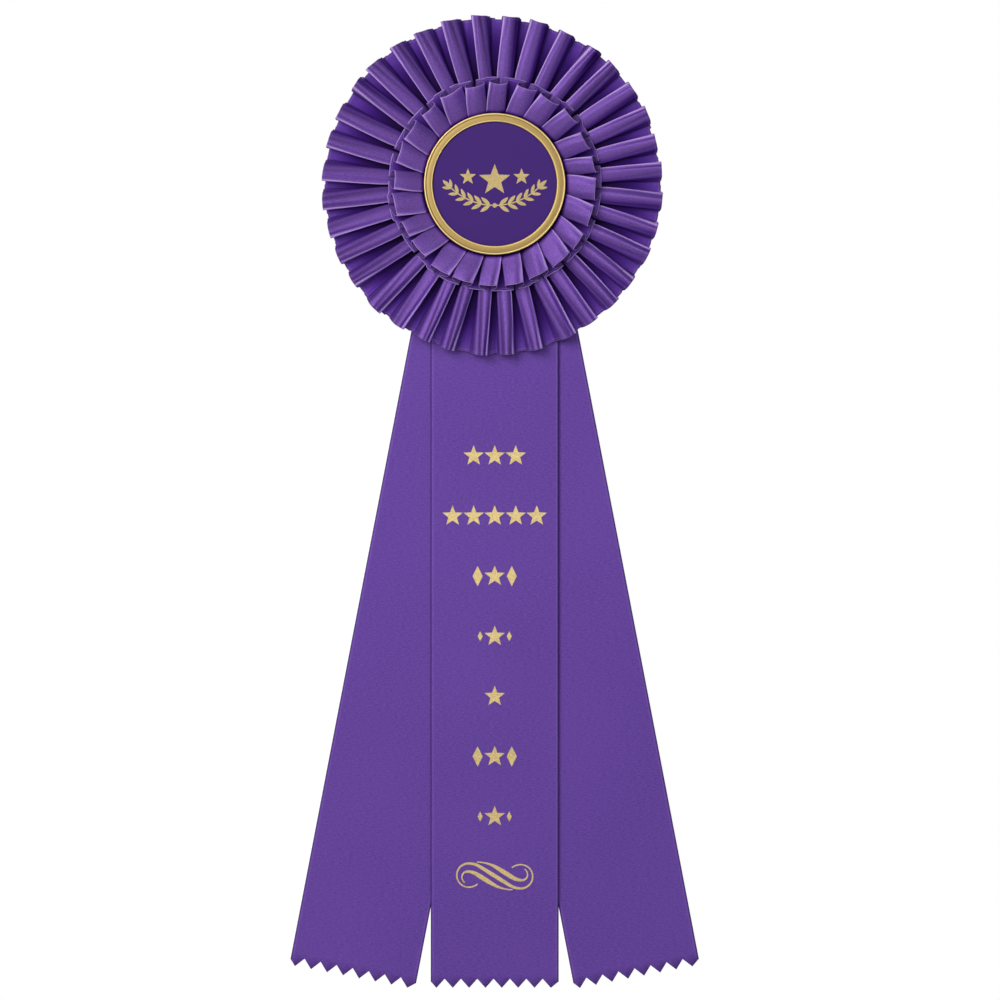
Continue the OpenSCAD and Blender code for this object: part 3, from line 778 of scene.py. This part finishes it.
def ruffles():
    """Both pleated rings. The inner one has extra rows beside the button, where its painted shade deepens.
    """
    outer = Pleats(
        seed=11, count=OUTER_COUNT, phase=math.radians(-4.7), r_in=OUTER_IN,
        rear=OUTER_HIGH.y - SATIN_T / 2, shape=outer_shape,
    )
    shares = row_shares(OUTER_RIBBON)
    ruffle("outer_ruffle", outer, shares, OUTER_RIBBON, OUTER_SATIN)

    inner = Pleats(
        seed=5, count=INNER_COUNT, phase=math.radians(1.5), r_in=INNER_IN,
        rear=INNER_HIGH.y - SATIN_T / 2, shape=inner_shape,
    )
    beside_button = [BUTTON_R + d * MM for d in (-0.2, 0.4, 1.0, 1.8)]
    extra = [(r - INNER_IN) / (INNER_REACH - INNER_IN) for r in beside_button]
    shares = row_shares(INNER_RIBBON, extra)
    ruffle("inner_ruffle", inner, shares, INNER_RIBBON, INNER_SATIN)


# ---- Streamers ----

SELVEDGE_W = 0.9 * MM
TOOTH_PITCH = 6.49 * MM
TOOTH_H = 3.6 * MM
FIRST_TOOTH = 2.26 * MM
TIP_DROP = 0.7 * TOOTH_H
CORNER_REACH = STAPLE_Z - (STREAMER_LOW.z + TIP_DROP)
HEAD_UP = HEAD_HIGH.z - STAPLE_Z
SIDE_EXTRA = 1.2 * MM
STREAMER_STEPS = 96
LAST_COLUMN_IN = 1.2 * MM
TEETH_ROW_UP = 3 * MM  # the last straight row, above the side corners
DRAPE_FROM = 75 * MM
DRAPE_DEPTH = 1.5 * MM


def drape(reach):
    """How far the satin stands forward at a distance from the staple. It is the same for all three
    streamers and turns with them, so that they stay nested however they swing."""
    t = min(1.0, max(0.0, (reach - DRAPE_FROM) / (CORNER_REACH - DRAPE_FROM)))
    return DRAPE_DEPTH * math.sin(1.3 * math.pi * t) * smooth(t * 3)


def teeth(x):
    """How far the pinked end reaches below the side corners at a place across the streamer."""
    first = -STREAMER_W / 2 + FIRST_TOOTH
    if x <= first:
        return TIP_DROP * (x + STREAMER_W / 2) / FIRST_TOOTH
    phase = ((x - first) / TOOTH_PITCH) % 1.0
    last = first + math.floor((STREAMER_W / 2 - first) / TOOTH_PITCH) * TOOTH_PITCH
    if x > last:
        return TIP_DROP * (STREAMER_W / 2 - x) / (STREAMER_W / 2 - last)
    return TIP_DROP - TOOTH_H * (1 - abs(2 * phase - 1))


def columns():
    """Places across a streamer: its edges and selvedges, and four to each tooth."""
    half = STREAMER_W / 2
    xs = {-half, half, SELVEDGE_W - half, half - SELVEDGE_W}
    x = -half + FIRST_TOOTH
    while x < half - LAST_COLUMN_IN:
        xs |= {x, x + TOOTH_PITCH / 4}
        x += TOOTH_PITCH / 2
    return sorted({round(x, 7) for x in xs})


def streamer(name, node, angle, extra):
    """One streamer, turned by angle about the staple, and longer by extra than the middle one."""
    low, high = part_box(node)
    y = (low.y + high.y) / 2
    xs = columns()
    corner = CORNER_REACH + extra
    last_row = corner - TEETH_ROW_UP
    reaches = [lerp(-HEAD_UP, last_row, i / STREAMER_STEPS) for i in range(STREAMER_STEPS + 1)]
    turn = Matrix.Rotation(-angle, 3, "Y")
    rows, uvs = [], []

    def spot(x, down):
        flat = Vector((x, 0, -down))
        place = turn @ flat
        place.y = y - drape(flat.length)
        return place + Vector((0, 0, STAPLE_Z))

    for down in reaches + [None]:
        row, uv_row = [], []
        for x in xs:
            here = corner + teeth(x) if down is None else down
            row.append(spot(x, here))
            uv_row.append(((x + STREAMER_W / 2) / MM, here / MM))
        rows.append(row)
        uvs.append(uv_row)
    piece = grid_mesh(name, rows, uvs, STREAMER_SATIN)
    thicken(piece, SATIN_T)
    return piece


def streamers():
    """The two side streamers and the middle one in front of them."""
    sides = (("left_streamer", -FAN), ("right_streamer", FAN))
    for node, angle in sides:
        piece = streamer(node + "_satin", node, angle, SIDE_EXTRA)
        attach(piece, node)
        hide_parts(node)
    centre = streamer("centre_streamer_satin", "centre_streamer", 0.0, 0.0)
    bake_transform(centre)
    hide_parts("centre_streamer_head", "centre_streamer")


def foil_on_streamer(node):
    """Foil pressed onto the middle streamer, so it follows the satin's drape."""
    piece = add_object(node + "_print", NODES[node].data.copy())
    for vertex in piece.data.vertices:
        vertex.co.y -= drape(math.hypot(vertex.co.x, vertex.co.z - STAPLE_Z))
    piece.data.materials.clear()
    piece.data.materials.append(GOLD_FOIL)
    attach(piece, "centre_streamer")
    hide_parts(node)


# ---- Button ----

LATHE_STEPS = 256


def lathe(name, profile, material):
    """A ring turned about the rosette's axis, from (radius, y) points that run round its section."""
    count = len(profile)
    points, faces = [], []
    for i in range(LATHE_STEPS):
        a = 2 * math.pi * i / LATHE_STEPS
        points += [(AXIS.x + r * math.sin(a), y, AXIS.z + r * math.cos(a)) for r, y in profile]
    for i in range(LATHE_STEPS):
        for j in range(count):
            k = (j + 1) % count
            m = (i + 1) % LATHE_STEPS
            faces.append((i * count + j, m * count + j, m * count + k, i * count + k))
    piece = add_mesh(name, points, faces, material)
    piece.data.shade_smooth()
    return piece


def button_rim():
    """The pressed rim: a fine outer bead, a broad flat band, and a rolled lip over the disc."""
    r_out, r_face = BUTTON_R, FACE_R
    back, crest = RIM_HIGH.y, RIM_LOW.y
    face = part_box("button_disc")[0].y - 0.02 * MM
    foot_w, chamfer = 1.6 * MM, 0.15 * MM
    bead, bead_steps, bead_turn = 0.4 * MM, 12, 0.8 * math.pi
    band_from, band_to, band_steps = r_out - 0.95 * MM, r_face + 0.45 * MM, 11
    band_sink, band_climb, band_hollow = 0.34, 0.14, 0.08
    lip, lip_steps, lip_sink = 0.22 * MM, 6, 0.2 * MM
    under_lip, inner_wall, inner_rise = 1.2 * MM, 1.9 * MM, 0.4

    profile = [(r_out - foot_w, back), (r_out - chamfer, back), (r_out, back - chamfer)]
    for i in range(bead_steps + 1):
        a = bead_turn * i / bead_steps
        profile.append((r_out - bead + bead * math.cos(a), crest + bead - bead * math.sin(a)))
    for i in range(band_steps + 1):
        t = i / band_steps
        sunk = (band_sink - band_climb * t - band_hollow * math.sin(math.pi * t)) * MM
        profile.append((lerp(band_from, band_to, t), crest + sunk))
    for i in range(lip_steps + 1):
        a = math.pi * (0.3 + 0.7 * i / lip_steps)
        profile.append((r_face + lip + lip * math.cos(a), crest + lip_sink + lip - lip * math.sin(a)))
    profile += [(r_face, face), (r_face + under_lip, face)]
    profile.append((r_out - inner_wall, lerp(back, crest, inner_rise)))
    piece = lathe("button_rim_gold", profile, GOLD_RIM)
    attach(piece, "rosette")
    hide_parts("button_rim")


ruffles()
streamers()
foil_on_streamer("star_foil")
foil_on_streamer("scroll_foil")
button_rim()


# ---- Stage, light and camera ----

VIEW_W = 396.9 * MM
VIEW_CENTRE = AXIS + Vector((2.1 * MM, 0, -125 * MM))


def aim(obj, target):
    """Turns a light to face a target."""
    obj.rotation_euler = (Vector(target) - obj.location).to_track_quat("-Z", "Y").to_euler()


def area_light(name, place, target, size, power, colour=(1, 1, 1)):
    """A round soft light that the camera doesn't see."""
    light = bpy.data.lights.new(name, "AREA")
    light.shape = "DISK"
    light.size = size
    light.energy = power
    light.color = colour
    obj = add_object(name, light)
    obj.location = place
    aim(obj, target)
    obj.visible_camera = False


def floor():
    """A plain pale floor, well below the hanging ribbon, that fades to white with distance."""
    level = STREAMER_LOW.z - 0.42
    radius, white_from, sides = 4.8, 3.6, 96
    turns = [2 * math.pi * i / sides for i in range(sides)]
    rim = [(radius * math.cos(turn), radius * math.sin(turn), level) for turn in turns]
    s = Shader("pale_floor", Roughness=0.9)
    s.set("Base Color", (0.8, 0.8, 0.8, 1))
    place = s.node("TexCoord").outputs["Object"]
    across = s.node("VectorMath", {"operation": "LENGTH"})
    s.feed(across.inputs[0], place)
    far = s.spread(across.outputs["Value"], -level, white_from, 0.7, 1.0)
    glow = s.node("Emission", Color=(1, 1, 1, 1), Strength=1.0)
    seen = s.math("MULTIPLY", far, s.node("LightPath").outputs["Is Camera Ray"])
    blend = s.node("MixShader")
    s.feed(blend.inputs[0], seen)
    s.feed(blend.inputs[1], s.bsdf.outputs[0])
    s.feed(blend.inputs[2], glow.outputs[0])
    s.feed(s.tree.nodes["Material Output"].inputs["Surface"], blend.outputs[0])
    add_mesh("floor", rim, [tuple(range(sides))], s.material)


def world():
    """White to the camera, and a softer even light on the object."""
    studio = bpy.data.worlds.new("studio")
    bpy.context.scene.world = studio
    studio.use_nodes = True
    tree = studio.node_tree
    tree.nodes.clear()
    out = tree.nodes.new("ShaderNodeOutputWorld")
    mix = tree.nodes.new("ShaderNodeMixShader")
    path = tree.nodes.new("ShaderNodeLightPath")
    soft = tree.nodes.new("ShaderNodeBackground")
    soft.inputs[0].default_value = (0.95, 0.95, 1.0, 1)
    soft.inputs[1].default_value = 0.1
    white = tree.nodes.new("ShaderNodeBackground")
    white.inputs[0].default_value = (1, 1, 1, 1)
    white.inputs[1].default_value = 1.0
    tree.links.new(path.outputs["Is Camera Ray"], mix.inputs[0])
    tree.links.new(soft.outputs[0], mix.inputs[1])
    tree.links.new(white.outputs[0], mix.inputs[2])
    tree.links.new(mix.outputs[0], out.inputs[0])


def camera():
    """A long lens straight in front, which shows a view VIEW_W wide at the streamers."""
    data = bpy.data.cameras.new("camera")
    data.lens = 250
    data.sensor_width = 36
    obj = add_object("camera", data)
    distance = VIEW_W * data.lens / data.sensor_width
    obj.location = (VIEW_CENTRE.x, STREAMER_LOW.y - distance, VIEW_CENTRE.z)
    obj.rotation_euler = (math.pi / 2, 0, 0)
    bpy.context.scene.camera = obj


world()
floor()
camera()
centre = (0, 0, AXIS.z - 0.1)
area_light("key", (-0.55, -1.05, 0.3), AXIS, size=0.8, power=13.4, colour=(1.0, 0.93, 0.93))
area_light("side", (0.6, -1.1, 0.3), AXIS, size=0.6, power=2.4, colour=(0.98, 0.94, 1.0))
area_light("low", (0.15, -1.0, -0.8), AXIS, size=0.5, power=2.2, colour=(1.0, 0.85, 0.85))
area_light("front", (0.0, -2.2, 0.1), centre, size=0.9, power=4, colour=(0.88, 0.88, 1.0))
area_light("back", (0.3, 1.3, 0.6), centre, size=0.9, power=17)
bpy.context.scene.view_settings.view_transform = "Standard"
